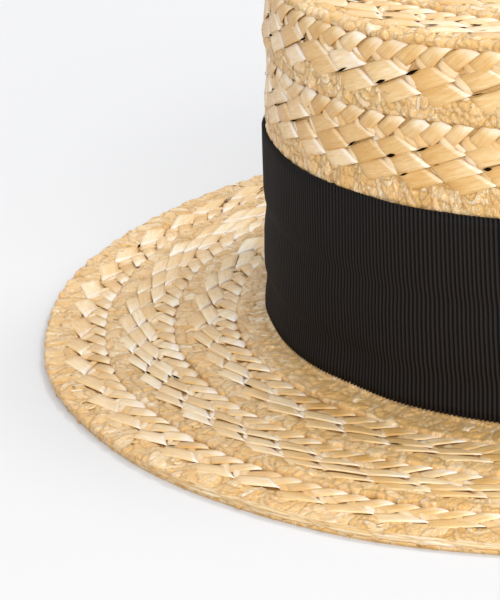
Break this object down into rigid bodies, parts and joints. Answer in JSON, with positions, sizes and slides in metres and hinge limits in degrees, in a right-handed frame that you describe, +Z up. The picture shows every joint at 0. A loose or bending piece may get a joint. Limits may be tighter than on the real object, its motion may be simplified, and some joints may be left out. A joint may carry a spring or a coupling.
{
  "type": "straw boater hat",
  "caption": "Straw boater: flat oval crown and wide flat brim sewn from overlapping rows of plaited straw, with a plain black grosgrain ribbon round the crown.",
  "frame": {"origin": "centre of the brim's underside, on the surface that the hat rests on", "axes": "+Z up out of the crown's top, -Y towards the front of the hat, +X towards the wearer's left"},
  "size_m": [0.2982, 0.3354, 0.1028],
  "materials": {
    "straw": "natural plaited straw, glossy, pale gold",
    "ribbon": "ribbed grosgrain, black, soft sheen"
  },
  "bodies": {
    "root": {"top_row_1": "straw", "top_row_2": "straw", "top_row_3": "straw", "top_row_4": "straw", "side_row_1": "straw", "side_row_2": "straw", "side_row_3": "straw", "side_row_4": "straw", "brim_row_1": "straw", "brim_row_2": "straw", "brim_row_3": "straw", "brim_row_4": "straw", "ribbon": "ribbon"}
  },
  "joints": []
}
